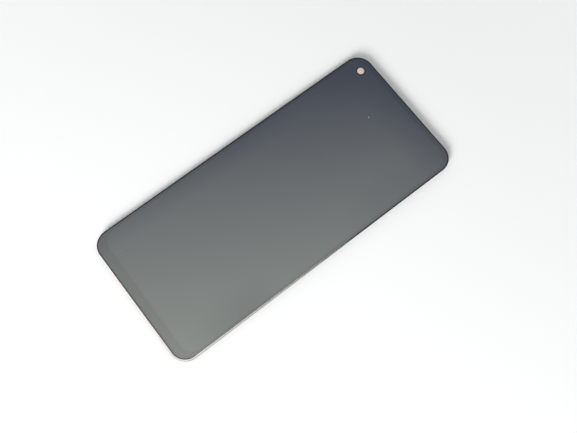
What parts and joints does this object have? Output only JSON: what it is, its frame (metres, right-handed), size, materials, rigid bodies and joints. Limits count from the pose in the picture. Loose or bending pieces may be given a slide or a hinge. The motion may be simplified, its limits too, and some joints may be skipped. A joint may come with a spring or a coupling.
{
  "type": "phone lcd screen assembly",
  "caption": "Frameless phone display: black cover glass with rounded corners and a camera hole, laminated LCD cell and backlight, and a folded flexible circuit with board connector behind.",
  "frame": {"origin": "bottom centre of the box round the part, at the height of the connector's mating face", "axes": "+Z out of the viewing side, +Y to the camera end, +X to the viewer's right, so that the camera hole lies at -X, +Y"},
  "size_m": [0.0724, 0.1606, 0.0035],
  "materials": {
    "black_glass": "polished glass with black ink behind it",
    "clear_sheet": "clear adhesive sheet",
    "polariser": "dark neutral film",
    "cell_glass": "thin glass with ground edges",
    "silicon": "ground silicon",
    "sealant": "milky cured bead",
    "black_tape": "matt black film",
    "pale_film": "pale protective film",
    "diffusing_film": "milky film",
    "acrylic": "clear moulded acrylic",
    "reflector": "silver-white film",
    "white_moulding": "white moulding",
    "steel": "fine rolled grain",
    "black_moulding": "matt black moulding",
    "amber_flex": "polyimide film over copper tracks",
    "led_package": "white package with yellow phosphor",
    "ceramic": "fired ceramic with tinned ends",
    "package_black": "moulded epoxy",
    "foil_tape": "conductive cloth tape",
    "connector_moulding": "black moulding with gilt contacts"
  },
  "bodies": {
    "root": {"cover_glass": "black_glass", "optical_adhesive": "clear_sheet", "upper_polariser": "polariser", "colour_filter_glass": "cell_glass", "tft_glass": "cell_glass", "lower_polariser": "polariser", "driver_chip": "silicon", "ledge_sealant": "sealant", "window_film": "pale_film", "hole_gasket": "black_tape", "camera_sleeve": "black_moulding", "back_plate": "steel", "backlight_frame": "white_moulding", "light_guide": "acrylic", "reflector_film": "reflector", "diffuser_film": "diffusing_film", "lower_prism_film": "diffusing_film", "upper_prism_film": "diffusing_film", "rim_tape": "black_tape", "led_01": "led_package", "led_02": "led_package", "led_03": "led_package", "led_04": "led_package", "led_05": "led_package", "led_06": "led_package", "led_07": "led_package", "led_08": "led_package", "led_09": "led_package", "led_10": "led_package", "led_11": "led_package", "led_12": "led_package", "led_13": "led_package", "led_strip": "amber_flex", "main_flex": "amber_flex", "flex_tape": "black_tape", "tail_tape": "black_tape", "connector_stiffener": "steel", "fold_cover_tape": "black_tape", "ground_tape_left": "foil_tape", "ground_tape_upper": "foil_tape", "board_connector": "connector_moulding", "connector_clip_left": "steel", "connector_clip_right": "steel", "capacitor_1": "ceramic", "capacitor_2": "ceramic", "capacitor_3": "ceramic", "capacitor_4": "ceramic", "capacitor_5": "ceramic", "capacitor_6": "ceramic", "capacitor_7": "ceramic", "capacitor_8": "ceramic", "memory_chip": "package_black", "diode": "package_black"}
  },
  "joints": []
}
